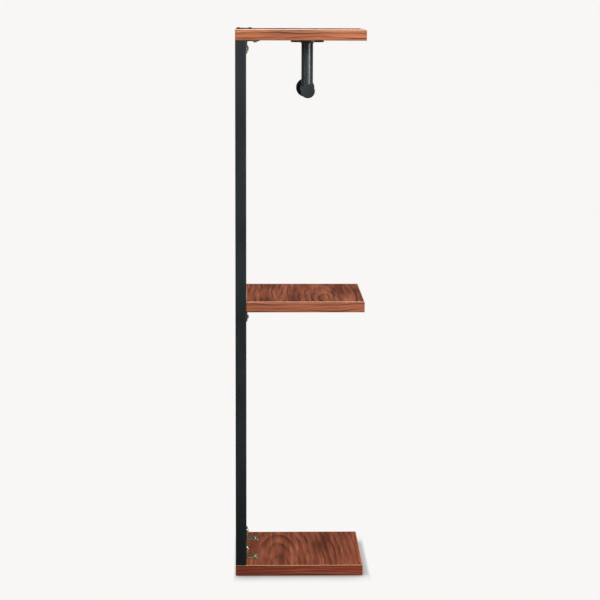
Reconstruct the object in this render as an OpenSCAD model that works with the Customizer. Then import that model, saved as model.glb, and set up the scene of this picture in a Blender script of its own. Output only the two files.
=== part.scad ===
// Narrow hall tree: three boards on a welded back frame, with a T-shaped hanging rail.
// Front faces -Y, the wall side is +Y, +Z is up. The origin is the bottom centre.
// Left and right are as a person sees them who stands in front.

/* [Boards] */
// Width of the boards, side to side
board_w = 300; // [240:1:600]
// Depth of the top and bottom boards, front to wall
board_d = 300; // [240:1:400]
// Thickness of every board
board_t = 25; // [18:1:30]
// Thickness of the edging strips
edging_t = 2; // [1:0.1:3]

/* [Heights] */
// Overall height, floor to top face
overall_h = 1280; // [1000:5:1600]
// Height of the middle board's top face
middle_h = 655; // [450:5:800]

/* [Frame] */
// Side of the square tubes
tube_side = 25; // [20:1:30]
// Wall of the square tubes
tube_wall = 1.5; // [1:0.1:2]
// Outer corner radius of the square tubes
tube_corner_r = 2; // [1.6:0.1:3]
// Leg of the weld beads
weld_leg = 2.5; // [1.5:0.5:4]

/* [Corner braces] */
// Length of each leg
brace_leg = 31; // [27:1:40]
// Width of a brace
brace_w = 27; // [14:1:34]
// Thickness of a brace
brace_t = 3; // [1.5:0.5:3.5]
// Radius of the bend on its outside
brace_bend_r = 4; // [4:0.5:6]
// Distance of each screw from the outer corner
brace_hole_at = 21; // [17:0.5:21]
// Distance of each brace's middle from the board's side
brace_inset = 70; // [40:1:90]

/* [Screws] */
// Shank diameter
screw_d = 4; // [3:0.5:5]
// Length under the head of the screws into the frame
frame_screw_len = 12; // [8:1:18]
// Length under the head of the screws into the boards
board_screw_len = 16; // [12:1:18]
// Diameter of the pan heads
head_d = 10; // [7:0.5:11]
// Height of the pan heads
head_h = 3; // [2:0.1:4]
// Diameter of the flat countersunk heads
flat_head_d = 8; // [7:0.5:9]
// Gap between a shank and its hole, on the radius
screw_gap = 0.1; // [0.05:0.05:0.3]

/* [Hanging rail] */
// Diameter of the rail
rail_d = 27; // [20:1:32]
// Diameter of the drop tube that carries it
drop_d = 27; // [18:1:27]
// Wall of the round tubes
round_wall = 1.5; // [1:0.1:2.5]
// Overall length of the rail with its ends
rail_len = 220; // [160:1:230]
// Distance from the top board's underside to the rail's axis
rail_drop = 116; // [80:1:160]
// Distance from the top board's front edge to the drop tube's axis
rail_setback = 133; // [90:1:160]
// Distance from the rail's left end to the drop tube's axis
drop_from_end = 55; // [40:1:80]
// Gap of the saddle cut round the rail
saddle_gap = 0.1; // [0.05:0.05:0.3]
// How far the flat cap on the left end stands out round the rail
cap_lip = 3; // [1.5:0.5:6]
// Thickness of the flat cap
cap_t = 4; // [2:0.5:8]
// Chamfer of the flat cap
cap_chamfer = 1; // [0.5:0.1:1.5]
// How far the stop knob on the right end stands out round the rail
knob_lip = 8.5; // [5:0.5:12]
// Length of the stop knob
knob_t = 22; // [16:1:30]
// Radius of the knob's rims
knob_rim_r = 5; // [3:0.5:7]
// Length of the plugs inside the rail
plug_len = 14; // [8:1:25]
// Gap between a plug and the rail's bore, on the radius
plug_gap = 0.1; // [0.05:0.05:0.3]

/* [Rail plate] */
// Diameter of the round plate under the top board
plate_d = 77; // [64:1:90]
// Thickness of the plate
plate_t = 5; // [3:0.5:6]
// Pitch circle of its screws
plate_pcd = 52; // [48:1:54]
// Number of its screws
plate_screws = 4; // [3:1:6]

/* [Wall tie plates] */
// Length of a tie plate, front to wall
tie_len = 38; // [36:1:60]
// Width of a tie plate
tie_w = 16; // [12:1:25]
// Thickness of a tie plate
tie_t = 1; // [1:0.5:3]
// Spacing of its two holes
tie_pitch = 27; // [20:1:27]
// Diameter of its low screw heads
tie_head_d = 8; // [7:0.5:10]
// Height of its low screw heads
tie_head_h = 1.4; // [1:0.1:3]
// Distance of the plate's end from the board's back edge
tie_set_in = 1.6; // [1:0.1:5]
// Distance of each plate's middle from the board's side
tie_inset = 50; // [20:1:80]

/* [Hidden] */
$fn = 48;

eps = 0.01;
half_w = board_w / 2;
front_y = -board_d / 2;
back_y = board_d / 2;
frame_front_y = back_y - tube_side;
under_top_z = overall_h - board_t;
under_middle_z = middle_h - board_t;
shank_r = screw_d / 2;
bore_r = shank_r + screw_gap;
cone_h = flat_head_d / 2 - shank_r;
upright_x = half_w - tube_side / 2;
cross_len = board_w - 2 * tube_side;
brace_x = half_w - brace_inset;
// The middle cross rail is centred on the screws of the middle braces
middle_rail_z = under_middle_z - brace_hole_at - tube_side / 2;
rail_y = front_y + rail_setback;
rail_z = under_top_z - rail_drop;
rail_left_x = -rail_len / 2;
drop_x = rail_left_x + drop_from_end;
tube_from_x = rail_left_x + cap_t;
tube_to_x = rail_left_x + rail_len - knob_t;
plug_r = rail_d / 2 - round_wall - plug_gap;
cap_r = rail_d / 2 + cap_lip;
knob_r = rail_d / 2 + knob_lip;
tie_x = half_w - tie_inset;
tie_y = back_y - tie_set_in - tie_len / 2;
slot_w = 1.1;
flat_slot_deep = 1.3;

wood = [0.55, 0.29, 0.20];
edge_wood = [0.70, 0.42, 0.28];
black_steel = [0.16, 0.18, 0.19];
zinc = [0.72, 0.66, 0.48];
bright_steel = [0.78, 0.78, 0.76];
bronze = [0.36, 0.25, 0.22];

// Square with round corners, kept as straight sides and true arcs
module round_square(side, r) {
    square([side - 2 * r, side], center = true);
    square([side, side - 2 * r], center = true);
    for (x = [-1, 1], y = [-1, 1])
        translate([x * (side / 2 - r), y * (side / 2 - r)])
            circle(r = r);
}

// Square tube standing on z = 0
module square_tube(length) {
    linear_extrude(length)
        difference() {
            round_square(tube_side, tube_corner_r);
            round_square(tube_side - 2 * tube_wall, tube_corner_r - tube_wall);
        }
}

// Pan-head screw: head of diameter d and height h above z = 0, with a cross recess
module pan_screw(length, d, h) {
    rim = h / 3;
    deep = h * 0.45;
    difference() {
        rotate_extrude()
            polygon(concat(
                [[0, -length], [shank_r * 0.3, -length], [shank_r, shank_r - length]],
                [[shank_r, 0], [d / 2, 0]],
                [for (a = [0:15:90]) [d / 2 * cos(a), rim + (h - rim) * sin(a)]]));
        for (turn = [0, 90])
            rotate(turn)
                translate([0, 0, h - deep / 2 + eps])
                    cube([d * 0.55, slot_w, deep], center = true);
    }
}

// Countersunk screw: its flat head fills a cone below z = 0, with a cross recess
module flat_screw(length) {
    difference() {
        rotate_extrude()
            polygon([[0, -length], [shank_r * 0.3, -length], [shank_r, shank_r - length],
                [shank_r, -cone_h], [flat_head_d / 2, 0], [0, 0]]);
        for (turn = [0, 90])
            rotate(turn)
                translate([0, 0, eps - flat_slot_deep / 2])
                    cube([flat_head_d * 0.5, slot_w, flat_slot_deep], center = true);
    }
}

// Hole for a screw whose head seats at z = 0
module screw_bore(length) {
    translate([0, 0, -length - 1])
        cylinder(r = bore_r, h = length + 1 + eps);
}

// The same with a cone for a countersunk head
module flat_bore(length) {
    screw_bore(length);
    translate([0, 0, -cone_h])
        cylinder(r1 = bore_r, r2 = bore_r + cone_h + eps, h = cone_h + eps);
}

// Places one thing at each brace: its outer corner at the frame and the board face
// up is +1 where the brace stands on a board and -1 where it hangs under one
module at_brace(side, face_z, up) {
    translate([side * brace_x, frame_front_y, face_z])
        mirror([0, 0, up > 0 ? 0 : 1])
            children();
}

// The two screws of one brace, drawn for a brace that stands on a board
module brace_screw_places() {
    translate([0, -brace_hole_at, brace_t])
        children(0);
    translate([0, -brace_t, brace_hole_at])
        rotate([90, 0, 0])
            children(1);
}

// Steel angle with a round bend, one leg on the board and one on the frame
module brace() {
    color(zinc)
        difference() {
            rotate([90, 0, -90])
                translate([0, 0, -brace_w / 2])
                    linear_extrude(brace_w)
                        brace_profile();
            brace_screw_places() {
                screw_bore(brace_t);
                screw_bore(brace_t);
            }
        }
}

// Side view of a brace: first axis runs forward from the frame, second axis up
module brace_profile() {
    difference() {
        union() {
            translate([brace_bend_r, 0])
                square([brace_leg - brace_bend_r, brace_t]);
            translate([0, brace_bend_r])
                square([brace_t, brace_leg - brace_bend_r]);
            intersection() {
                translate([brace_bend_r, brace_bend_r])
                    circle(r = brace_bend_r);
                square(brace_bend_r);
            }
        }
        translate([brace_bend_r, brace_bend_r])
            circle(r = brace_bend_r - brace_t);
    }
}

// The four screws of the two braces on one board
module brace_screws(face_z, up) {
    color(bright_steel)
        for (side = [-1, 1])
            at_brace(side, face_z, up)
                brace_screw_places() {
                    pan_screw(board_screw_len, head_d, head_h);
                    pan_screw(frame_screw_len, head_d, head_h);
                }
}

// Holes that those screws need, in the boards and in the frame
module brace_bores(face_z, up) {
    for (side = [-1, 1])
        at_brace(side, face_z, up)
            brace_screw_places() {
                screw_bore(board_screw_len);
                screw_bore(tube_side / 2);
            }
}

// Board core from its back edge y_back forward, standing on z = 0, less its edging
module board_core(y_back) {
    translate([edging_t - half_w, front_y + edging_t, 0])
        cube([board_w - 2 * edging_t, y_back - front_y - 2 * edging_t, board_t]);
}

// Four edging strips round a board: the front and back ones run the full width
module board_edging(y_back) {
    color(edge_wood) {
        for (y = [front_y, y_back - edging_t])
            translate([-half_w, y, 0])
                cube([board_w, edging_t, board_t]);
        for (x = [-half_w, half_w - edging_t])
            translate([x, front_y + edging_t, 0])
                cube([edging_t, y_back - front_y - 2 * edging_t, board_t]);
    }
}

module rail_plate_screw_places() {
    translate([drop_x, rail_y, under_top_z - plate_t])
        for (n = [0:plate_screws - 1])
            rotate(45 + n * 360 / plate_screws)
                translate([plate_pcd / 2, 0, 0])
                    rotate([180, 0, 0])
                        children();
}

module tie_screw_places() {
    for (side = [-1, 1], y = [-1, 1])
        translate([side * tie_x, tie_y + y * tie_pitch / 2, overall_h + tie_t])
            children();
}

module top_board() {
    color(wood)
        difference() {
            translate([0, 0, under_top_z])
                board_core(back_y);
            brace_bores(under_top_z, -1);
            rail_plate_screw_places()
                screw_bore(board_screw_len);
            tie_screw_places()
                screw_bore(board_screw_len);
        }
}

module middle_board() {
    color(wood)
        difference() {
            translate([0, 0, under_middle_z])
                board_core(frame_front_y);
            brace_bores(under_middle_z, -1);
        }
}

module bottom_board() {
    color(wood)
        difference() {
            board_core(back_y);
            brace_bores(board_t, 1);
        }
}

module top_board_edging() {
    translate([0, 0, under_top_z])
        board_edging(back_y);
}

module middle_board_edging() {
    translate([0, 0, under_middle_z])
        board_edging(frame_front_y);
}

module bottom_board_edging() {
    board_edging(back_y);
}

module upright(side) {
    color(black_steel)
        translate([side * upright_x, back_y - tube_side / 2, board_t])
            square_tube(under_top_z - board_t);
}

// Cross rail between the uprights, its underside at height z
module cross_rail(z) {
    translate([-cross_len / 2, back_y - tube_side / 2, z + tube_side / 2])
        rotate([0, 90, 0])
            square_tube(cross_len);
}

module top_cross_rail() {
    color(black_steel)
        difference() {
            cross_rail(under_top_z - tube_side);
            brace_bores(under_top_z, -1);
        }
}

module middle_cross_rail() {
    color(black_steel)
        difference() {
            cross_rail(middle_rail_z);
            brace_bores(under_middle_z, -1);
        }
}

module bottom_cross_rail() {
    color(black_steel)
        difference() {
            cross_rail(board_t);
            brace_bores(board_t, 1);
        }
}

// Fillet bead in the corner of a cross rail and an upright; up is +1 on the rail's top
module weld_bead(side, z, up) {
    bead_len = tube_side - 2 * tube_corner_r;
    translate([side * cross_len / 2, back_y - tube_side / 2 + bead_len / 2, z])
        mirror([side > 0 ? 1 : 0, 0, 0])
            mirror([0, 0, up > 0 ? 0 : 1])
                rotate([90, 0, 0])
                    linear_extrude(bead_len)
                        polygon([[0, 0], [weld_leg, 0], [0, weld_leg]]);
}

module frame_welds() {
    color(black_steel)
        for (side = [-1, 1]) {
            weld_bead(side, under_top_z - tube_side, -1);
            weld_bead(side, middle_rail_z, -1);
            weld_bead(side, middle_rail_z + tube_side, 1);
            weld_bead(side, board_t + tube_side, 1);
        }
}

module rail_plate() {
    color(black_steel)
        difference() {
            translate([drop_x, rail_y, under_top_z - plate_t])
                cylinder(d = plate_d, h = plate_t, $fn = 96);
            rail_plate_screw_places()
                flat_bore(plate_t);
        }
}

module rail_plate_screws() {
    color(black_steel)
        rail_plate_screw_places()
            flat_screw(board_screw_len);
}

// Round tube along +Z from z = 0
module round_tube(d, length) {
    difference() {
        cylinder(d = d, h = length);
        translate([0, 0, -1])
            cylinder(d = d - 2 * round_wall, h = length + 2);
    }
}

// The drop tube ends in a saddle that sits on the rail
module drop_tube() {
    color(black_steel)
        difference() {
            translate([drop_x, rail_y, rail_z])
                round_tube(drop_d, rail_drop - plate_t);
            translate([drop_x - drop_d, rail_y, rail_z])
                rotate([0, 90, 0])
                    cylinder(r = rail_d / 2 + saddle_gap, h = 2 * drop_d);
        }
}

module hanging_rail() {
    color(black_steel)
        translate([tube_from_x, rail_y, rail_z])
            rotate([0, 90, 0])
                round_tube(rail_d, tube_to_x - tube_from_x);
}

// Turned end piece: outline points are [radius, distance out from the rail's end]
module turned_end(outline) {
    rotate_extrude($fn = 72)
        polygon(concat([[0, -plug_len], [plug_r, -plug_len], [plug_r, 0]], outline));
}

module rail_end_cap() {
    color(black_steel)
        translate([tube_from_x, rail_y, rail_z])
            rotate([0, -90, 0])
                turned_end([[cap_r, 0], [cap_r, cap_t - cap_chamfer],
                    [cap_r - cap_chamfer, cap_t], [0, cap_t]]);
}

module rail_stop_knob() {
    color(black_steel)
        translate([tube_to_x, rail_y, rail_z])
            rotate([0, 90, 0])
                turned_end(concat(
                    [for (a = [-90:15:0])
                        [knob_r - knob_rim_r + knob_rim_r * cos(a), knob_rim_r + knob_rim_r * sin(a)]],
                    [for (a = [0:15:90])
                        [knob_r - knob_rim_r + knob_rim_r * cos(a),
                            knob_t - knob_rim_r + knob_rim_r * sin(a)]],
                    [[0, knob_t]]));
}

module wall_tie(side) {
    color(bronze)
        difference() {
            translate([side * tie_x - tie_w / 2, tie_y - tie_len / 2, overall_h])
                cube([tie_w, tie_len, tie_t]);
            tie_screw_places()
                screw_bore(tie_t);
        }
}

module wall_tie_screws() {
    color(bronze)
        tie_screw_places()
            pan_screw(board_screw_len, tie_head_d, tie_head_h);
}

top_board();
middle_board();
bottom_board();
top_board_edging();
middle_board_edging();
bottom_board_edging();
upright(-1);  // upright_left
upright(1);  // upright_right
top_cross_rail();
middle_cross_rail();
bottom_cross_rail();
frame_welds();
at_brace(-1, under_top_z, -1) brace();  // top_brace_left
at_brace(1, under_top_z, -1) brace();  // top_brace_right
at_brace(-1, under_middle_z, -1) brace();  // middle_brace_left
at_brace(1, under_middle_z, -1) brace();  // middle_brace_right
at_brace(-1, board_t, 1) brace();  // bottom_brace_left
at_brace(1, board_t, 1) brace();  // bottom_brace_right
brace_screws(under_top_z, -1);  // top_brace_screws
brace_screws(under_middle_z, -1);  // middle_brace_screws
brace_screws(board_t, 1);  // bottom_brace_screws
rail_plate();
rail_plate_screws();
drop_tube();
hanging_rail();
rail_end_cap();
rail_stop_knob();
wall_tie(-1);  // wall_tie_left
wall_tie(1);  // wall_tie_right
wall_tie_screws();
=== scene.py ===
from math import cos, pi, radians, sin

import bpy
import numpy as np
from mathutils import Matrix, Vector


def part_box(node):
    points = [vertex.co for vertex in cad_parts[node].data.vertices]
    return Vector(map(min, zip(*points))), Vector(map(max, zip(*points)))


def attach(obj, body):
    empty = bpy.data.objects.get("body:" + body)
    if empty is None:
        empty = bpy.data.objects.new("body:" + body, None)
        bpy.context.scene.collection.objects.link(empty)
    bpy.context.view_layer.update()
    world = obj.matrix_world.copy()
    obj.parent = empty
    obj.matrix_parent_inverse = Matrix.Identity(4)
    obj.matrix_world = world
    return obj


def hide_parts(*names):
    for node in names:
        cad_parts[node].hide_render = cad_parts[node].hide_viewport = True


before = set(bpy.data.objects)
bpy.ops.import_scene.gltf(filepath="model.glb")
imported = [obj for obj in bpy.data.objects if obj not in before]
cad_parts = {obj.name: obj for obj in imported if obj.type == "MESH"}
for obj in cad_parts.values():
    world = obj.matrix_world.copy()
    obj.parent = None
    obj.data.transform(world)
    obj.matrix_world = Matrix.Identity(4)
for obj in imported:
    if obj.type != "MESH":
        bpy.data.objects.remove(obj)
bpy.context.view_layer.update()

scene = bpy.context.scene
scene.view_settings.view_transform = "Standard"
print("frame loaded:", len(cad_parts), "parts")


# sizes read from the frame, in metres
def boxOf(node):
    low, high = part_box(node)
    return np.array(low, float), np.array(high, float)


def middleOf(node):
    low, high = boxOf(node)
    return (low + high) / 2


# half of a round piece's size along an axis, 0 for x and 2 for z
def radiusOf(node, axis):
    low, high = boxOf(node)
    return (high[axis] - low[axis]) / 2


# degrees of turn where wear begins and where it is full, and the longest step that counts
wearLook = dict(turnFrom=8.0, turnFull=15.0, shortStep=0.0025)


# Wear at each grid point: the angle between the step before and the step after it, taken
# along the stack and round it, counts where both steps are short, as on a rounded edge.
def edgeWear(rings, closed):
    wear = np.zeros(rings.shape[:2])
    for axis in (0, 1):
        before = rings - np.roll(rings, 1, axis)
        after = np.roll(rings, -1, axis) - rings
        sizes = np.linalg.norm(before, axis=2), np.linalg.norm(after, axis=2)
        cosine = (before * after).sum(2) / np.maximum(sizes[0] * sizes[1], 1e-12)
        turn = np.degrees(np.arccos(np.clip(cosine, -1, 1)))
        share = np.interp(turn, (wearLook["turnFrom"], wearLook["turnFull"]), (0, 1))
        share[np.maximum(*sizes) > wearLook["shortStep"]] = 0
        if axis == 0 and not closed:
            share[[0, -1]] = 0
        wear = np.maximum(wear, share)
    return wear


# A stack of rings is a grid: row v is one ring, column u goes round it. Each cell
# between two rings and two columns is one four-sided face. When the stack is closed
# the last ring meets the first, as in a pipe wall; otherwise each end gets a fan.
def ringStack(name, rings, material, standsFor=(), closed=True, along=None,
              around=None, paint=None, sharpDegrees=35, wearShare=1.0):
    rows, cols = rings.shape[:2]
    points = rings.reshape(-1, 3)
    v, u = np.meshgrid(np.arange(rows if closed else rows - 1), np.arange(cols), indexing="ij")
    v, u = v.ravel(), u.ravel()
    vNext, uNext = (v + 1) % rows, (u + 1) % cols
    faces = np.stack([v * cols + u, v * cols + uNext, vNext * cols + uNext, vNext * cols + u], 1)
    along = np.arange(rows + 1.0) if along is None else np.append(along, along[-1])
    around = np.arange(cols + 1.0) if around is None else around
    corner = np.stack([np.stack([around[p], along[q]], 1)
                       for p, q in ((u, v), (u + 1, v), (u + 1, v + 1), (u, v + 1))], 1)
    # the sign of the enclosed volume says whether the faces point outwards
    a, b, c, d = (points[faces[:, k]] for k in range(4))
    volume = (np.einsum("ij,ij->i", a, np.cross(b, c)) + np.einsum("ij,ij->i", a, np.cross(c, d))).sum()
    fans = []
    if not closed:
        first, last = rings[0].mean(0), rings[-1].mean(0)
        points = np.vstack([points, first, last])
        ring = np.arange(cols)
        after = (ring + 1) % cols
        lastRow = (rows - 1) * cols
        fans = [np.stack([np.full(cols, rows * cols), after, ring], 1),
                np.stack([np.full(cols, rows * cols + 1), lastRow + ring, lastRow + after], 1)]
        for fan in fans:
            p, q, r = (points[fan[:, k]] for k in range(3))
            volume += np.einsum("ij,ij->i", p, np.cross(q, r)).sum()
    if volume < 0:
        faces, corner = faces[:, ::-1], corner[:, ::-1]
        fans = [fan[:, ::-1] for fan in fans]
    faceList = faces.tolist() + [row for fan in fans for row in fan.tolist()]
    mesh = bpy.data.meshes.new(name)
    mesh.from_pydata(points.tolist(), [], faceList)
    uvs = np.zeros((len(mesh.loops), 2), np.float32)
    uvs[:corner.shape[0] * 4] = corner.reshape(-1, 2)
    mesh.uv_layers.new(name="strip").data.foreach_set("uv", uvs.ravel())
    values = dict(wear=edgeWear(rings, closed).ravel() * wearShare)
    if paint is not None:
        values["paint"] = np.repeat(paint, cols)
    for key, grid in values.items():
        column = np.append(grid, [0.0] * (len(points) - len(grid))).astype(np.float32)
        mesh.attributes.new(key, "FLOAT", "POINT").data.foreach_set("value", column)
    return finishPiece(name, mesh, material, standsFor, sharpDegrees)


# Smooth shading that breaks at sharp edges, then what the frame needs to know of the piece
def finishPiece(name, mesh, material, standsFor, sharpDegrees):
    mesh.materials.append(material)
    mesh.shade_smooth()
    mesh.set_sharp_from_angle(angle=radians(sharpDegrees))
    mesh.update()
    piece = bpy.data.objects.new(name, mesh)
    scene.collection.objects.link(piece)
    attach(piece, "root")
    if standsFor:
        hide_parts(*standsFor)
    return piece


# Outline of a rectangle with round corners: four quarter circles of the radius,
# joined by the straight sides. Going inwards by an inset keeps the corner centres.
def roundRectangle(width, depth, radius, inset=0.0, steps=6):
    r = max(radius - inset, 1e-5)
    angles = np.linspace(0, pi / 2, steps + 1)
    parts = []
    for k, (sx, sy) in enumerate([(1, 1), (-1, 1), (-1, -1), (1, -1)]):
        turned = angles + k * pi / 2
        cx, cy = sx * (width / 2 - inset - r), sy * (depth / 2 - inset - r)
        parts.append(np.stack([cx + r * np.cos(turned), cy + r * np.sin(turned)], 1))
    return np.vstack(parts)


# Outline of a circle: the cosine and sine of even steps of angle, times the radius
def circleOutline(radius, steps):
    angles = np.linspace(0, 2 * pi, steps, endpoint=False)
    return np.stack([radius * np.cos(angles), radius * np.sin(angles)], 1)


# Lays an outline's first coordinate on side, its second on up, and adds the origin.
def layOut(outline, origin, side, up):
    return np.asarray(origin) + outline[:, :1] * np.asarray(side) + outline[:, 1:2] * np.asarray(up)


axisX, axisY, axisZ = np.eye(3)


# Pipe wall: the section along the pipe is a closed loop of (inset, distance) pairs,
# down the outside, over the end with eased rims, back up the bore.
def wallSection(length, wall, ease):
    return [(0, ease), (0, length * 0.25), (0, length * 0.5), (0, length * 0.75), (0, length - ease),
            (ease * 0.3, length - ease * 0.3), (ease, length), (wall - ease, length), (wall, length - ease),
            (wall, ease), (wall - ease, 0), (ease, 0), (ease * 0.3, ease * 0.3)]


# A fresh material, with its node lists and its main shader
def newMaterial(name):
    material = bpy.data.materials.new(name)
    material.use_nodes = True
    nodes, links = material.node_tree.nodes, material.node_tree.links
    shader = nodes["Principled BSDF"]
    return material, nodes, links, shader


# One sum, product, power or the like of values or of other nodes' results
def mathNode(nodes, links, kind, first, second=None, third=None):
    node = nodes.new("ShaderNodeMath")
    node.operation = kind
    for socket, value in zip(node.inputs, (first, second, third)):
        if value is None:
            continue
        if isinstance(value, (int, float)):
            socket.default_value = value
        else:
            links.new(value, socket)
    return node.outputs[0]


# Noise read at the place times the stretch, plus the offset
def noiseNode(nodes, links, vector, stretch, offset=(0, 0, 0), detail=3, roughness=0.55, distortion=0.0):
    mapping = nodes.new("ShaderNodeMapping")
    mapping.inputs["Scale"].default_value = stretch
    mapping.inputs["Location"].default_value = offset
    links.new(vector, mapping.inputs["Vector"])
    noise = nodes.new("ShaderNodeTexNoise")
    noise.inputs["Scale"].default_value = 1.0
    noise.inputs["Detail"].default_value = detail
    noise.inputs["Roughness"].default_value = roughness
    noise.inputs["Distortion"].default_value = distortion
    links.new(mapping.outputs[0], noise.inputs["Vector"])
    return noise.outputs["Fac"]


# A value looked up between stops of grey or colour, eased from each stop to the next
def rampNode(nodes, links, value, stops):
    ramp = nodes.new("ShaderNodeValToRGB")
    ramp.color_ramp.interpolation = "EASE"
    while len(ramp.color_ramp.elements) < len(stops):
        ramp.color_ramp.elements.new(0.5)
    for element, (place, colour) in zip(ramp.color_ramp.elements, stops):
        element.position = place
        element.color = (*colour, 1) if isinstance(colour, tuple) else (colour, colour, colour, 1)
    links.new(value, ramp.inputs["Fac"])
    return ramp.outputs["Color"]


# Two colours mixed or multiplied, by an amount from 0 to 1
def blendNode(nodes, links, kind, amount, first, second):
    mix = nodes.new("ShaderNodeMix")
    mix.data_type = "RGBA"
    mix.blend_type = kind
    for key, value in (("Factor", amount), ("A", first), ("B", second)):
        socket = mix.inputs[key]
        if isinstance(value, (int, float)):
            socket.default_value = value
        elif isinstance(value, tuple):
            socket.default_value = (*value, 1)
        else:
            links.new(value, socket)
    return mix.outputs["Result"]


# A height in metres turned into a tilt of the shaded surface
def bumpNode(nodes, links, height, distance, strength):
    bump = nodes.new("ShaderNodeBump")
    bump.inputs["Strength"].default_value = strength
    bump.inputs["Distance"].default_value = distance
    links.new(height, bump.inputs["Height"])
    return bump.outputs[0]


faceLook = dict(
    pale=(0.46, 0.148, 0.073), warm=(0.30, 0.089, 0.045), brown=(0.140, 0.041, 0.023),
    dark=(0.045, 0.0155, 0.011), ringsPerMetre=74.0, slope=0.16, wander=0.0075, lines=0.80,
    roughness=0.55, gloss=0.05)
bandLook = dict(
    pale=(0.56, 0.200, 0.098), warm=(0.45, 0.150, 0.073), brown=(0.30, 0.094, 0.048),
    dark=(0.060, 0.019, 0.012), ringsPerMetre=125.0, slope=0.012, wander=0.0065, lines=1.0,
    roughness=0.52, gloss=0.12)


# times each noise repeats in a metre along the grain, across it and through the board
grainNoise = dict(
    wander=dict(stretch=(5, 16, 9), detail=2),
    wanderFine=dict(stretch=(14, 70, 30), detail=3),
    uneven=dict(stretch=(6, 55, 20), offset=(3, 1, 2), detail=2),
    broad=dict(stretch=(3.5, 26, 12), detail=2),
    fibre=dict(stretch=(9, 520, 260), detail=4, roughness=0.7),
    streak=dict(stretch=(4, 150, 90), offset=(7, 3, 1), detail=3, roughness=0.6),
    pores=dict(stretch=(55, 1500, 700), detail=2))
# pairs of a value and the tone it is turned into
grainRamps = dict(
    late=[(0.0, 0.25), (0.12, 0.0), (0.55, 0.25), (0.86, 0.9), (0.95, 1.0), (1.0, 0.25)],
    patchy=[(0.32, 0.12), (0.66, 1.0)],
    streaked=[(0.35, 0.5), (0.65, 0.0)],
    fibres=[(0.3, 0.55), (0.7, 1.25)],
    poreMask=[(0.62, 0.0), (0.72, 1.0)],
    rubbed=[(0.3, 0.75), (0.6, 1.0)])
grainShares = dict(shift=4, shiftFine=0.28, dip=0.6, fibre=0.55, pores=0.5, fibreInGroove=0.4,
                   grooveDepth=0.00006, grooveStrength=0.7, duller=0.08, shinier=0.05)


# Walnut: growth rings are shells round the tree's heart, so on a sawn face the ring
# number is the distance from a heart line that dips away along the grain. Noise bends
# it, fibres and pores are noise drawn out along the grain.
def walnutMaterial(name, source, heart, tint, look, arrisWearAndHighlight=None):
    material, nodes, links, shader = newMaterial(name)
    if source == "UV":
        coords = nodes.new("ShaderNodeUVMap")
        coords.uv_map = "strip"
        vector = coords.outputs["UV"]
    else:
        vector = nodes.new("ShaderNodeTexCoord").outputs["Object"]
    split = nodes.new("ShaderNodeSeparateXYZ")
    links.new(vector, split.inputs[0])
    along, across = split.outputs["X"], split.outputs["Y"]
    seed = (heart[0] * 31, heart[1] * 17, heart[0] * 7)
    shares = grainShares

    def combine(kind, first, second):
        return mathNode(nodes, links, kind, first, second)

    def noise(kind, offset=seed):
        return noiseNode(nodes, links, vector, **{"offset": offset, **grainNoise[kind]})

    def ramp(kind, value):
        return rampNode(nodes, links, value, grainRamps[kind])

    def blend(kind, amount, first, second):
        return blendNode(nodes, links, kind, amount, first, second)

    # how far the heart line is bent, in metres, and the distance from it
    wander, wanderFine = noise("wander"), noise("wanderFine")
    shift, shiftFine = (
        combine("MULTIPLY", combine("SUBTRACT", value, 0.5), look["wander"] * shares[key])
        for value, key in ((wander, "shift"), (wanderFine, "shiftFine")))
    sideways = combine("ADD", combine("ADD", combine("SUBTRACT", across, heart[0]), shift), shiftFine)
    dip = combine("ADD", combine("MULTIPLY", along, look["slope"]), heart[1])
    dip = combine("ADD", dip, combine("MULTIPLY", shift, shares["dip"]))
    squares = combine("ADD", combine("MULTIPLY", sideways, sideways), combine("MULTIPLY", dip, dip))
    reach = combine("POWER", squares, 0.5)
    # each ring darkens to its late wood, more in some patches than in others
    late = ramp("late", mathNode(nodes, links, "FRACT", combine("MULTIPLY", reach, look["ringsPerMetre"])))
    uneven = noise("uneven")
    lateWood = blend("MULTIPLY", 1.0, late, ramp("patchy", uneven))
    broad = noise("broad", (seed[1], seed[0], 4))
    fibre, streak, pores = noise("fibre"), noise("streak"), noise("pores")
    ground = rampNode(nodes, links, broad, [(0.30, look["brown"]), (0.48, look["warm"]),
                                            (0.68, look["pale"])])
    toned = blend("MIX", ramp("streaked", streak), ground, look["brown"])
    lined = blend("MIX", combine("MULTIPLY", lateWood, look["lines"]), toned, look["dark"])
    fibred = blend("MULTIPLY", shares["fibre"], lined, ramp("fibres", fibre))
    poreMask = ramp("poreMask", pores)
    finished = blend("MIX", combine("MULTIPLY", poreMask, shares["pores"]), fibred, look["dark"])
    # the tint multiplied in here is painted shade: boards lower down get darker, redder copies of the
    # walnut
    finished = blend("MULTIPLY", 1.0, finished, tint)
    # on the arris the paint mask lays a pale colour that is partly worn foil and partly a painted highlight
    if arrisWearAndHighlight:
        paint = nodes.new("ShaderNodeAttribute")
        paint.attribute_name = "paint"
        worn = combine("MULTIPLY", paint.outputs["Fac"], ramp("rubbed", uneven))
        finished = blend("MIX", worn, finished, arrisWearAndHighlight)
    links.new(finished, shader.inputs["Base Color"])
    rough = rampNode(nodes, links, fibre, [(0.3, look["roughness"] + shares["duller"]),
                                           (0.7, look["roughness"] - shares["shinier"])])
    links.new(rough, shader.inputs["Roughness"])
    shader.inputs["Specular IOR Level"].default_value = look["gloss"]
    grooves = combine("SUBTRACT", combine("MULTIPLY", fibre, shares["fibreInGroove"]), poreMask)
    links.new(bumpNode(nodes, links, grooves, shares["grooveDepth"], shares["grooveStrength"]),
              shader.inputs["Normal"])
    return material


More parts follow.
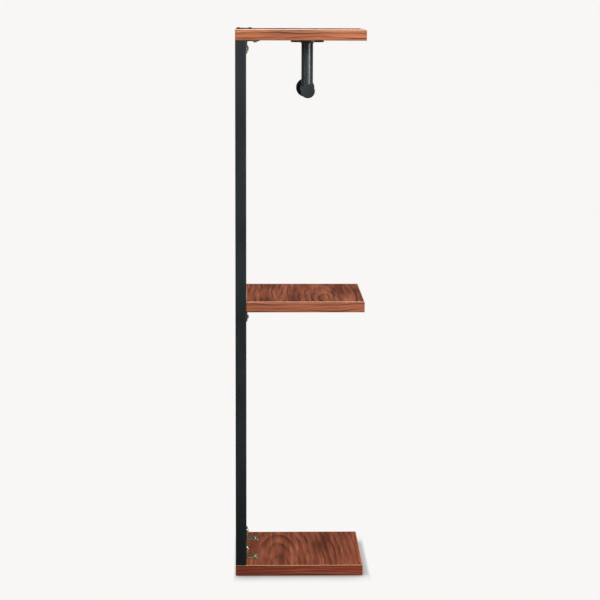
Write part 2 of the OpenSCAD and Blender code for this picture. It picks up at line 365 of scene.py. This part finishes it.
# Rubbed edges: the mesh's own wear values, broken into small patches by noise
def rubbedEdges(nodes, links, vector, share):
    wear = nodes.new("ShaderNodeAttribute")
    wear.attribute_name = "wear"
    patches = rampNode(nodes, links, noiseNode(nodes, links, vector, (170, 170, 60), (8, 2, 5), detail=3),
                       [(0.42, 0.15), (0.62, 1.0)])
    worn = mathNode(nodes, links, "MULTIPLY", wear.outputs["Fac"], patches)
    return mathNode(nodes, links, "MULTIPLY", worn, share)


coatLook = dict(darker=0.82, lighter=1.2, rubbedTone=3.2, rubbedShare=0.5, finer=3.2, fineShare=0.5,
                duller=0.06, shinier=0.05, bump=0.8, sheen=(0.86, 0.97, 1.0, 1))


# Powder coat: a fine pebble from two noises, with the gloss broken up a little
def powderCoat(name, colour, roughness, gloss, pebble=0.00003, grainSize=0.0011):
    material, nodes, links, shader = newMaterial(name)
    look = coatLook
    vector = nodes.new("ShaderNodeTexCoord").outputs["Object"]
    coarse = noiseNode(nodes, links, vector, (1 / grainSize,) * 3, detail=2)
    fine = noiseNode(nodes, links, vector, (look["finer"] / grainSize,) * 3, (1, 5, 2), detail=2)
    cloud = noiseNode(nodes, links, vector, (22, 22, 9), (4, 4, 4), detail=3)
    darker, lighter, worn = (tuple(c * look[key] for c in colour)
                             for key in ("darker", "lighter", "rubbedTone"))
    coat = rampNode(nodes, links, cloud, [(0.3, darker), (0.7, lighter)])
    rubbed = rubbedEdges(nodes, links, vector, look["rubbedShare"])
    links.new(blendNode(nodes, links, "MIX", rubbed, coat, worn), shader.inputs["Base Color"])
    rough = rampNode(nodes, links, cloud, [(0.3, roughness - look["shinier"]),
                                           (0.7, roughness + look["duller"])])
    links.new(rough, shader.inputs["Roughness"])
    shader.inputs["Specular IOR Level"].default_value = gloss
    shader.inputs["Specular Tint"].default_value = look["sheen"]
    fine = mathNode(nodes, links, "MULTIPLY", fine, look["fineShare"])
    height = mathNode(nodes, links, "ADD", coarse, fine)
    links.new(bumpNode(nodes, links, height, pebble, look["bump"]), shader.inputs["Normal"])
    return material


plateLook = dict(rubbedTone=1.35, brightest=0.95, rubbedShare=0.6, duller=0.1, shinier=0.07,
                 speckShare=0.4, bumpDepth=0.00002, bump=0.6)


# Zinc plate: a metal whose tint drifts in soft clouds, with faint rolling lines
def platedMetal(name, colours, roughness, lines):
    material, nodes, links, shader = newMaterial(name)
    look = plateLook
    vector = nodes.new("ShaderNodeTexCoord").outputs["Object"]
    cloud = noiseNode(nodes, links, vector, (160, 160, 160), (2, 6, 3), detail=4, distortion=0.8)
    rolled = noiseNode(nodes, links, vector, lines, (1, 1, 1), detail=2)
    speck = noiseNode(nodes, links, vector, (1800, 1800, 1800), detail=1)
    plate = rampNode(nodes, links, cloud, [(0.30, colours[0]), (0.5, colours[1]), (0.72, colours[2])])
    rubbed = rubbedEdges(nodes, links, vector, look["rubbedShare"])
    worn = tuple(min(c * look["rubbedTone"], look["brightest"]) for c in colours[2])
    links.new(blendNode(nodes, links, "MIX", rubbed, plate, worn), shader.inputs["Base Color"])
    shader.inputs["Metallic"].default_value = 1.0
    rough = rampNode(nodes, links, cloud, [(0.3, roughness - look["shinier"]),
                                           (0.7, roughness + look["duller"])])
    links.new(rough, shader.inputs["Roughness"])
    speck = mathNode(nodes, links, "MULTIPLY", speck, look["speckShare"])
    height = mathNode(nodes, links, "ADD", rolled, speck)
    links.new(bumpNode(nodes, links, height, look["bumpDepth"], look["bump"]), shader.inputs["Normal"])
    return material


edgingLook = dict(arris=0.0014, cornerRadius=0.0014, arcSteps=7, arrisFoot=2)
# where each heart line lies, across and below, and how far along its pattern an edging starts
# the tints are painted shade and light: lower boards get darker, redder copies of the walnut, the bottom
# edge most, the top edge paler
boardLook = {
    "top_board": dict(heart=(0.035, 0.030), tint=(1.0, 1.0, 1.0), edgeShadeTint=(0.92, 0.93, 0.83),
                      edgeHeart=(-0.06, 0.01), patternStart=0.0, arrisWearAndHighlight=(0.68, 0.68, 0.57)),
    "middle_board": dict(heart=(-0.055, 0.012), tint=(1.0, 1.0, 1.0), edgeShadeTint=(0.89, 0.86, 0.87),
                         edgeHeart=(-0.09, 0.01), patternStart=1.7, arrisWearAndHighlight=(0.57, 0.36, 0.232)),
    "bottom_board": dict(heart=(0.046, 0.034), tint=(1.0, 0.93, 0.90), edgeShadeTint=(0.68, 0.455, 0.435),
                         edgeHeart=(-0.12, 0.01), patternStart=3.4, arrisWearAndHighlight=(0.61, 0.305, 0.184)),
}
frameBlack = powderCoat("frameBlack", (0.0160, 0.0200, 0.0210), 0.62, 0.07)
railBlack = powderCoat("railBlack", (0.022, 0.026, 0.027), 0.33, 0.95, pebble=0.000004)
capBlack = powderCoat("capBlack", (0.0165, 0.0205, 0.0215), 0.50, 0.18, pebble=0.000012)
# the stop knob gets a darker black than the rest: painted shade for the shadow it sits in under the shelf
knobShadedBlack = powderCoat("knobShadedBlack", (0.0070, 0.0085, 0.0085), 0.55, 0.10, pebble=0.000012)
yellowZinc = platedMetal("yellowZinc", ((0.28, 0.28, 0.155), (0.49, 0.465, 0.28), (0.68, 0.61, 0.42)), 0.35,
                         (90, 90, 1400))
brightZinc = platedMetal("brightZinc", ((0.50, 0.54, 0.57), (0.72, 0.75, 0.77), (0.88, 0.89, 0.89)), 0.20,
                         (700, 700, 700))
# a dark brown metal for the wall ties and their screws
darkBrownMetal = platedMetal("darkBrownMetal", ((0.050, 0.030, 0.026), (0.095, 0.052, 0.044),
                                            (0.15, 0.075, 0.060)), 0.42, (90, 90, 1400))
print("materials made")


# The boards keep their own meshes and take a walnut each; the edging is made anew
def finishBoards():
    for node, look in boardLook.items():
        wood = walnutMaterial(node + "Walnut", "Object", look["heart"], look["tint"], faceLook)
        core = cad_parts[node]
        core.data.materials.clear()
        core.data.materials.append(wood)
        makeEdging(node, look)


# Edging: the cross-section is flat outside with a round arris above and below, and
# each of its points runs round the board as an inset rectangle with round corners.
def makeEdging(node, look):
    low, high = boxOf(node + "_edging")
    width, depth, height = high - low
    thick, arris = boxOf(node)[0][0] - low[0], edgingLook["arris"]
    bend = np.linspace(0, pi / 2, edgingLook["arcSteps"])
    lowerArc = [(arris - arris * sin(a), arris - arris * cos(a)) for a in bend]
    upperArc = [(arris - arris * cos(a), height - arris + arris * sin(a)) for a in bend]
    section = lowerArc + [(0, height * 0.35), (0, height * 0.65)] + upperArc + [(thick, height), (thick, 0)]
    centre = (low + high) / 2
    rings = np.stack([
        layOut(roundRectangle(width, depth, edgingLook["cornerRadius"], inset, steps=5),
               (centre[0], centre[1], low[2] + z), axisX, axisY) for inset, z in section])
    outer = rings[len(lowerArc)]
    stepsRound = np.linalg.norm(np.diff(np.vstack([outer, outer[:1]]), axis=0), axis=1)
    around = np.concatenate([[0], np.cumsum(stepsRound)]) + look["patternStart"]
    along = np.cumsum([0] + [np.hypot(b[0] - a[0], b[1] - a[1]) for a, b in zip(section, section[1:])])
    # the top arris is painted, all but its foot: partly worn foil, partly a painted highlight along the
    # rounded edge
    paint = np.zeros(len(section))
    arcStart = section.index(upperArc[0])
    paint[arcStart + edgingLook["arrisFoot"]:arcStart + len(upperArc)] = 1.0
    band = walnutMaterial(node + "EdgeBand", "UV", look["edgeHeart"], look["edgeShadeTint"], bandLook,
                          look["arrisWearAndHighlight"])
    ringStack(node + "_edge_band", rings, band, (node + "_edging",),
              along=along, around=around, paint=paint, sharpDegrees=60)


finishBoards()
print("boards and edging made")


squareTubeLook = dict(wall=0.0015, cornerRadius=0.002, cornerSteps=6, ease=0.0003)


# Square tube: a rectangle with round corners is carried down the outside of the tube,
# over its end and back up the bore, so the wall is one closed skin.
def squareTube(name, node, alongX):
    low, high = boxOf(node)
    centre, size = (low + high) / 2, high - low
    look = squareTubeLook
    lengthAxis, length, start = (axisX, size[0], low[0]) if alongX else (axisZ, size[2], low[2])
    side, up = (axisY, axisZ) if alongX else (axisX, axisY)
    across = size[1]   # the depth of the tube, and it is square
    base = centre * (1 - lengthAxis)
    rings = np.stack([
        layOut(roundRectangle(across, across, look["cornerRadius"], inset, look["cornerSteps"]),
               base + lengthAxis * (start + reach), side, up)
        for inset, reach in wallSection(length, look["wall"], look["ease"])])
    ringStack(name, rings, frameBlack, (node,), sharpDegrees=50)


beadLook = dict(leg=0.0023, stations=56, ripples=11, ripple=0.10, taper=0.12, tipShare=0.15, fullness=0.8)


# Weld bead: a quarter-round fillet in the corner of two tubes, whose leg swells and
# shrinks in even ripples along its length and tapers to its two ends.
def weldBeads():
    leftFace, rightFace = boxOf("upright_left")[1][0], boxOf("upright_right")[0][0]
    corner = squareTubeLook["cornerRadius"]
    # a rail, its under or upper face, and the way the bead stands from it
    seams = [("top_cross_rail", 0, -1), ("middle_cross_rail", 0, -1), ("middle_cross_rail", 1, 1),
             ("bottom_cross_rail", 1, 1)]
    pieces = 0
    for rail, end, up in seams:
        box = boxOf(rail)
        z = box[end][2]
        for side, x in ((1, leftFace), (-1, rightFace)):
            t = np.linspace(0, 1, beadLook["stations"])
            swell = 1 + beadLook["ripple"] * np.sin(2 * pi * beadLook["ripples"] * t)
            taper = np.clip(np.minimum(t, 1 - t) / beadLook["taper"], beadLook["tipShare"], 1) ** 0.5
            size = beadLook["leg"] * swell * taper
            y = box[0][1] + corner + (box[1][1] - box[0][1] - 2 * corner) * t
            turn = np.linspace(0, pi / 2, 7)
            outlineX = np.append(np.cos(turn) ** beadLook["fullness"], 0.0)
            outlineZ = np.append(np.sin(turn) ** beadLook["fullness"], 0.0)
            rings = np.empty((len(t), len(outlineX), 3))
            rings[..., 0] = x + side * size[:, None] * outlineX
            rings[..., 1] = y[:, None]
            rings[..., 2] = z + up * size[:, None] * outlineZ
            ringStack("weld_bead_%d" % pieces, rings, frameBlack,
                      ("frame_welds",), closed=False, sharpDegrees=70, wearShare=0.2)
            pieces += 1


squareTube("upright_tube_left", "upright_left", False)
squareTube("upright_tube_right", "upright_right", False)
squareTube("top_rail_tube", "top_cross_rail", True)
squareTube("middle_rail_tube", "middle_cross_rail", True)
squareTube("bottom_rail_tube", "bottom_cross_rail", True)
weldBeads()
print("back frame made")


braceLook = dict(thickness=0.003, bendRadius=0.004, cornerRadius=0.005, cornerFrom=0.08, ease=0.0004,
                 bendSteps=10, holeAt=0.021)


# Brace: a strip carried along a path that goes down one leg, round the bend and out
# along the other. Its half width shrinks on a circle near both ends for round corners.
def makeBrace(name, node, up):
    low, high = boxOf(node)
    width, leg = high[0] - low[0], high[2] - low[2]
    look = braceLook
    thick = look["thickness"]
    corner = np.array([(low[0] + high[0]) / 2, high[1], low[2] if up > 0 else high[2]])
    forward, rise = -axisY, axisZ * up
    r = look["bendRadius"] - thick / 2
    half, cornerR = width / 2, look["cornerRadius"]
    ends = cornerR * (1 - np.cos(np.linspace(look["cornerFrom"], pi / 2, 7)))
    tip = leg - ends
    standing = [(thick / 2, h, (1, 0), d) for h, d in zip(tip, ends)]
    standing.append((thick / 2, look["bendRadius"], (1, 0), cornerR))
    lying = [(look["bendRadius"], thick / 2, (0, 1), cornerR)]
    lying += [(f, thick / 2, (0, 1), d) for f, d in zip(tip[::-1], ends[::-1])]
    bend = []
    for a in np.linspace(0, pi / 2, look["bendSteps"])[1:-1]:
        normal = (cos(a), sin(a))
        bend.append((look["bendRadius"] - r * cos(a), look["bendRadius"] - r * sin(a), normal, cornerR))
    rings = []
    for f, h, normal, fromEnd in standing + bend + lying:
        halfHere = half - cornerR + (max(cornerR ** 2 - (cornerR - fromEnd) ** 2, 0)) ** 0.5
        centre = corner + forward * f + rise * h
        outward = forward * normal[0] + rise * normal[1]
        outline = roundRectangle(2 * halfHere, thick, look["ease"], steps=2)
        rings.append(layOut(outline, centre, axisX, outward))
    ringStack(name, np.stack(rings), yellowZinc, (node,), closed=False, sharpDegrees=40)
    hole = look["holeAt"]
    boardScrew = corner + forward * hole + rise * thick
    frameScrew = corner + forward * thick + rise * hole
    return (boardScrew, rise), (frameScrew, forward)


# the neck is where the head meets the shank: at the plate, or down a countersink
panScrew = dict(headRadius=0.005, headHeight=0.003, rim=0.001, neck=0.0, shankRadius=0.0019, shank=0.010,
                slotHalfWidth=0.00062, slotHalfLength=0.0026, slotDepth=0.0013, sideEase=0.45,
                endEase=0.5, tipShare=0.4, tipFrom=0.85, around=56, rings=20)
flatScrew = dict(panScrew, headRadius=0.004, headHeight=0.0, rim=0.0, neck=-0.002, slotHalfLength=0.002)
lowScrew = dict(panScrew, headRadius=0.004, headHeight=0.0014, rim=0.0005, slotHalfLength=0.0022,
                slotDepth=0.0006)


# Screw: the head's height falls off as an ellipse from the middle to the rim. The cross
# recess is sunk in it where a point lies within either arm, with sides that ease to nothing.
def makeScrew(name, place, direction, standsFor, turn, material=brightZinc,
              look=panScrew):
    angles = np.linspace(0, 2 * pi, look["around"], endpoint=False)
    radii = look["headRadius"] * np.sin(np.linspace(pi / 2, 0.04, look["rings"]))
    rr, aa = np.meshgrid(radii, angles, indexing="ij")
    fall = np.sqrt(1 - (rr / look["headRadius"]) ** 2 * 0.999)
    dome = look["rim"] + (look["headHeight"] - look["rim"]) * fall
    x, y = rr * np.cos(aa), rr * np.sin(aa)

    def within(distance, half, ease):
        return np.clip((half - np.abs(distance)) / (half * ease), 0, 1)

    def arm(p, q):
        return (within(p, look["slotHalfWidth"], look["sideEase"])
                * within(q, look["slotHalfLength"], look["endEase"]))

    dome = dome - look["slotDepth"] * np.maximum(arm(x, y), arm(y, x))
    # from the tip up the shank to the neck, then out to the head's lower rim
    skirt = [(look["shankRadius"] * look["tipShare"], -look["shank"]),
             (look["shankRadius"], -look["shank"] * look["tipFrom"]), (look["shankRadius"], look["neck"]),
             (look["headRadius"] * 0.97, look["neck"] * 0.03), (look["headRadius"], look["rim"] * 0.3)]
    local = np.concatenate([
        np.stack([np.stack([r * np.cos(angles), r * np.sin(angles), np.full_like(angles, z)], 1)
                  for r, z in skirt]),
        np.stack([x, y, dome], 2)])
    facing = Vector(direction).to_track_quat("Z", "Y").to_matrix() @ Matrix.Rotation(turn, 3, "Z")
    rings = local @ np.array(facing).T + np.asarray(place)
    ringStack(name, rings, material, standsFor, closed=False, sharpDegrees=38)


# Two braces to a board, each with a screw into the board and one into the frame
def fitBraces():
    turns = iter(np.random.default_rng(7).uniform(0, pi, 40))
    for board, up in (("top", -1), ("middle", -1), ("bottom", 1)):
        for side in ("left", "right"):
            onBoard, onFrame = makeBrace("%s_angle_%s" % (board, side), "%s_brace_%s" % (board, side), up)
            for kind, (place, direction) in (("board", onBoard), ("frame", onFrame)):
                makeScrew("%s_%s_screw_%s" % (board, kind, side), place, direction,
                          (board + "_brace_screws",), next(turns))


fitBraces()
print("braces and screws made")


railLook = dict(wall=0.0015, around=72, ease=0.0004, plateEase=0.0006, capSpigot=0.006, knobRim=0.005,
                capChamfer=0.001, capEase=0.0004, spigotGap=0.0001,
                saddleBead=0.0012, flangeBead=0.0014, beadAround=10, beadRipples=26, beadRipple=0.08)
flangeScrews = dict(count=4, circleRadius=0.026, firstTurn=0.3, turnStep=0.7)


# Turned piece: each pair is a radius and a distance along the axis, and goes once round
def turned(name, pairs, origin, axis, material, slotName, standsFor, sharpDegrees=35):
    side = axisZ if abs(axis[2]) < 0.5 else axisX
    other = np.cross(axis, side)
    rings = np.stack([layOut(circleOutline(max(r, 1e-5), railLook["around"]),
                             np.asarray(origin) + np.asarray(axis) * d, side, other) for r, d in pairs])
    return ringStack(name, rings, material, standsFor, closed=False, sharpDegrees=sharpDegrees)


# Rounded rim of a turned piece: an arc of the ease's size, ending flush with the radius
def roundArc(radius, ease, fromDegrees, toDegrees, reach, steps=7):
    angles = np.radians(np.linspace(fromDegrees, toDegrees, steps))
    return [(radius - ease + ease * cos(a), reach + ease * sin(a)) for a in angles]


# Flange: a flat disc with both rims rounded, and countersunk screws on a circle
def railPlate():
    low, high = boxOf("rail_plate")
    radius, thick = radiusOf("rail_plate", 0), high[2] - low[2]
    ease = railLook["plateEase"]
    pairs = [(radius * 0.5, 0)] + roundArc(radius, ease, -90, 0, ease)
    pairs += roundArc(radius, ease, 0, 90, thick - ease) + [(radius * 0.5, thick)]
    centre = middleOf("rail_plate")
    turned("rail_flange", pairs, (centre[0], centre[1], low[2]), axisZ, railBlack, "black_rail",
           ("rail_plate",))
    for k in range(flangeScrews["count"]):
        angle = 2 * pi * (k + 0.5) / flangeScrews["count"]
        outwards = axisX * cos(angle) + axisY * sin(angle)
        place = centre + flangeScrews["circleRadius"] * outwards - axisZ * thick / 2
        turn = k * flangeScrews["turnStep"] + flangeScrews["firstTurn"]
        makeScrew("flange_screw_%d" % k, place, -axisZ, ("rail_plate_screws",), turn, capBlack,
                  flatScrew)


# Drop tube: its lower end follows the rail, so a point at y from the rail's axis ends
# at the height sqrt(R*R - y*y) above that axis. A thin bead runs round at both ends.
def dropTube():
    top, centre = boxOf("drop_tube")[1][2], middleOf("drop_tube")
    railRadius, railZ = radiusOf("hanging_rail", 2), middleOf("hanging_rail")[2]
    radius = radiusOf("drop_tube", 0)
    bore = radius - railLook["wall"]
    outline = circleOutline(1.0, railLook["around"])

    def saddleHeight(y):
        return railZ + np.sqrt(np.maximum(railRadius ** 2 - y ** 2, 0))

    rings = []
    for r, share in [(radius, 0), (radius, 0.3), (radius, 0.65), (radius, 1), (bore, 1), (bore, 0)]:
        y = outline[:, 1] * r
        z = saddleHeight(y) * (1 - share) + top * share
        rings.append(np.stack([centre[0] + outline[:, 0] * r, centre[1] + y, z], 1))
    ringStack("drop_pipe", np.stack(rings), railBlack, ("drop_tube",), sharpDegrees=40)
    ripples = np.linspace(0, 2 * pi * railLook["beadRipples"], len(outline), endpoint=False)
    swell = 1 + railLook["beadRipple"] * np.sin(ripples)
    for name, bead, height in (
            ("saddle_weld", railLook["saddleBead"], saddleHeight(outline[:, 1] * radius)),
            ("flange_weld", railLook["flangeBead"], top - railLook["flangeBead"])):
        around = np.linspace(0, 2 * pi, railLook["beadAround"], endpoint=False)
        rings = np.empty((len(around), len(outline), 3))
        for k, a in enumerate(around):
            rings[k, :, :2] = centre[:2] + outline * (radius + bead * swell * cos(a))[:, None]
            rings[k, :, 2] = height + bead * swell * sin(a)
        ringStack(name, rings, railBlack, ("drop_tube",), sharpDegrees=80, wearShare=0.2)


# Hanging rail: a pipe along x, with a flat disc plugged in one end and a knob in the other
def hangingRail():
    low, high = boxOf("hanging_rail")
    radius, length = radiusOf("hanging_rail", 2), high[0] - low[0]
    origin = np.array([low[0], middleOf("hanging_rail")[1], middleOf("hanging_rail")[2]])
    rings = np.stack([layOut(circleOutline(radius - inset, railLook["around"]), origin + axisX * reach,
                             axisY, axisZ)
                      for inset, reach in wallSection(length, railLook["wall"], railLook["ease"])])
    ringStack("hang_pipe", rings, railBlack, ("hanging_rail",), sharpDegrees=40)
    capRadius = radiusOf("rail_end_cap", 2)
    capThick = low[0] - boxOf("rail_end_cap")[0][0]
    chamfer, ease = railLook["capChamfer"], railLook["capEase"]
    spigot = radius - railLook["wall"] - railLook["spigotGap"]
    turned("end_disc", [(spigot, -railLook["capSpigot"]), (spigot, 0), (capRadius - ease, 0),
                        (capRadius, ease), (capRadius, capThick - chamfer)]
           + roundArc(capRadius, chamfer, 0, 90, capThick - chamfer) + [(capRadius * 0.4, capThick)],
           origin, -axisX, capBlack, "black_rail", ("rail_end_cap",))
    knobRadius = radiusOf("rail_stop_knob", 2)
    knobThick = boxOf("rail_stop_knob")[1][0] - high[0]
    rim = railLook["knobRim"]
    turned("stop_knob", [(spigot, -railLook["capSpigot"]), (spigot, 0), (knobRadius * 0.7, 0)]
           + roundArc(knobRadius, rim, -90, 0, rim) + roundArc(knobRadius, rim, 0, 90, knobThick - rim)
           + [(knobRadius * 0.4, knobThick)],
           origin + axisX * length, axisX, knobShadedBlack, "black_rail", ("rail_stop_knob",))


railPlate()
dropTube()
hangingRail()
print("hanging rail made")


tieLook = dict(cornerRadius=0.004, ease=0.0004, pitch=0.027, faceInset=0.003, firstTurn=0.4)


# Tie plate: a flat strip with round corners and eased rims, and two low screws
def wallTie(side):
    node = "wall_tie_" + side
    low, high = boxOf(node)
    centre, size = (low + high) / 2, high - low
    ease, faceInset = tieLook["ease"], tieLook["faceInset"]
    rings = np.stack([
        layOut(roundRectangle(size[0], size[1], tieLook["cornerRadius"], inset, 5),
               (centre[0], centre[1], low[2] + z), axisX, axisY)
        for inset, z in ((faceInset, 0), (ease, 0), (0, ease), (0, size[2] - ease),
                         (ease * 0.3, size[2] - ease * 0.3), (ease, size[2]), (faceInset, size[2]))])
    ringStack("tie_plate_" + side, rings, darkBrownMetal, (node,), closed=False,
              sharpDegrees=50)
    for k, along in enumerate((-1, 1)):
        place = np.array([centre[0], centre[1] + along * tieLook["pitch"] / 2, high[2]])
        makeScrew("tie_screw_%s_%d" % (side, k), place, axisZ, ("wall_tie_screws",),
                  tieLook["firstTurn"] + k, darkBrownMetal, lowScrew)


wallTie("left")
wallTie("right")
print("wall ties made")


cameraSpot = dict(place=(-4.6124, 0.1180, 1.3260), aim=(0.0, -0.0036, 0.6367), roll=0.195, lens=116.9)


# The camera looks from its place to its aim, then rolls a little about that line
def addCamera():
    data = bpy.data.cameras.new("view")
    data.sensor_width = 36.0
    data.lens = cameraSpot["lens"]
    camera = bpy.data.objects.new("view", data)
    place, aim = Vector(cameraSpot["place"]), Vector(cameraSpot["aim"])
    roll = Matrix.Rotation(radians(cameraSpot["roll"]), 3, "Z")
    turn = (aim - place).to_track_quat("-Z", "Y").to_matrix() @ roll
    camera.matrix_world = Matrix.Translation(place) @ turn.to_4x4()
    scene.collection.objects.link(camera)
    scene.camera = camera


floorLook = dict(size=60.0, drop=0.0004, colour=(0.940, 0.930, 0.913), shadowReach=0.06, shadowPower=1.5,
                 shadowSamples=32, bounce=0.22, sides=((0.142, 0.157), (-0.153, -0.171)))


# Floor: an even pale sweep. Its tone is darkened by how much of the sky above a point the
# object hides, out to a short reach, and fades out sooner to the left and right.
def addFloor():
    half = floorLook["size"] / 2
    mesh = bpy.data.meshes.new("floor")
    corners = [(-half, -half, 0), (half, -half, 0), (half, half, 0), (-half, half, 0)]
    mesh.from_pydata(corners, [], [(0, 1, 2, 3)])
    floor = bpy.data.objects.new("floor", mesh)
    floor.location = (0, 0, -floorLook["drop"])
    scene.collection.objects.link(floor)
    material = bpy.data.materials.new("paleFloor")
    material.use_nodes = True
    nodes, links = material.node_tree.nodes, material.node_tree.links
    nodes.clear()
    colour = floorLook["colour"]
    hidden = nodes.new("ShaderNodeAmbientOcclusion")
    hidden.samples = floorLook["shadowSamples"]
    hidden.inputs["Distance"].default_value = floorLook["shadowReach"]
    split = nodes.new("ShaderNodeSeparateXYZ")
    links.new(nodes.new("ShaderNodeTexCoord").outputs["Object"], split.inputs[0])
    tone = mathNode(nodes, links, "POWER", hidden.outputs["AO"], floorLook["shadowPower"])
    for start, end in floorLook["sides"]:
        fade = nodes.new("ShaderNodeMapRange")
        fade.interpolation_type = "SMOOTHSTEP"
        fade.inputs["From Min"].default_value = start
        fade.inputs["From Max"].default_value = end
        links.new(split.outputs["Y"], fade.inputs["Value"])
        tone = mathNode(nodes, links, "MAXIMUM", tone, fade.outputs["Result"])
    plain = nodes.new("ShaderNodeEmission")
    plain.inputs["Color"].default_value = (*colour, 1)
    links.new(tone, plain.inputs["Strength"])
    # for bounced light the floor is a dimmer, plain surface
    bounce = nodes.new("ShaderNodeEmission")
    bounce.inputs["Color"].default_value = (*colour, 1)
    bounce.inputs["Strength"].default_value = floorLook["bounce"]
    path = nodes.new("ShaderNodeLightPath")
    seen = nodes.new("ShaderNodeMixShader")
    links.new(path.outputs["Is Camera Ray"], seen.inputs["Fac"])
    links.new(bounce.outputs[0], seen.inputs[1])
    links.new(plain.outputs[0], seen.inputs[2])
    output = nodes.new("ShaderNodeOutputMaterial")
    links.new(seen.outputs[0], output.inputs["Surface"])
    mesh.materials.append(material)


# place, aim, size, power in watts, and whether glossy surfaces mirror the lamp
lightRig = {
    "keySoftbox": dict(place=(-1.60, -0.25, 2.05), aim=(0, 0, 0.85), size=(1.0, 0.8), power=27,
                       mirrored=True),
    "rightStrip": dict(place=(-1.85, -1.65, 1.75), aim=(0, 0, 1.05), size=(0.32, 1.1), power=46,
                       mirrored=True),
    "leftStrip": dict(place=(-1.25, 2.0, 1.75), aim=(0, 0, 1.05), size=(0.24, 1.1), power=10,
                      mirrored=True),
    "overhead": dict(place=(-0.2, 0.3, 3.4), aim=(0, 0, 0.3), size=(3.0, 3.0), power=40,
                     mirrored=False),
    "farFill": dict(place=(2.6, -1.2, 1.1), aim=(0, 0, 0.7), size=(1.5, 1.5), power=22,
                    mirrored=False),
}
worldLook = dict(seen=(0.940, 0.930, 0.913), light=0.16)


# Five soft lamps, and a world that the camera sees bright but that lights only dimly
def addLights():
    for name, spot in lightRig.items():
        data = bpy.data.lights.new(name, "AREA")
        data.shape = "RECTANGLE"
        data.size, data.size_y = spot["size"]
        data.energy = spot["power"]
        lamp = bpy.data.objects.new(name, data)
        lamp.visible_glossy = spot["mirrored"]
        place, aim = Vector(spot["place"]), Vector(spot["aim"])
        turn = (aim - place).to_track_quat("-Z", "Y").to_matrix()
        lamp.matrix_world = Matrix.Translation(place) @ turn.to_4x4()
        scene.collection.objects.link(lamp)
    world = bpy.data.worlds.new("studio")
    world.use_nodes = True
    scene.world = world
    nodes, links = world.node_tree.nodes, world.node_tree.links
    nodes.clear()
    seen, light = nodes.new("ShaderNodeBackground"), nodes.new("ShaderNodeBackground")
    seen.inputs["Color"].default_value = (*worldLook["seen"], 1)
    light.inputs["Color"].default_value = (*worldLook["seen"], 1)
    light.inputs["Strength"].default_value = worldLook["light"]
    path, mix = nodes.new("ShaderNodeLightPath"), nodes.new("ShaderNodeMixShader")
    links.new(path.outputs["Is Camera Ray"], mix.inputs["Fac"])
    links.new(light.outputs[0], mix.inputs[1])
    links.new(seen.outputs[0], mix.inputs[2])
    output = nodes.new("ShaderNodeOutputWorld")
    links.new(mix.outputs[0], output.inputs["Surface"])


addCamera()
addFloor()
addLights()
print("camera and light set")
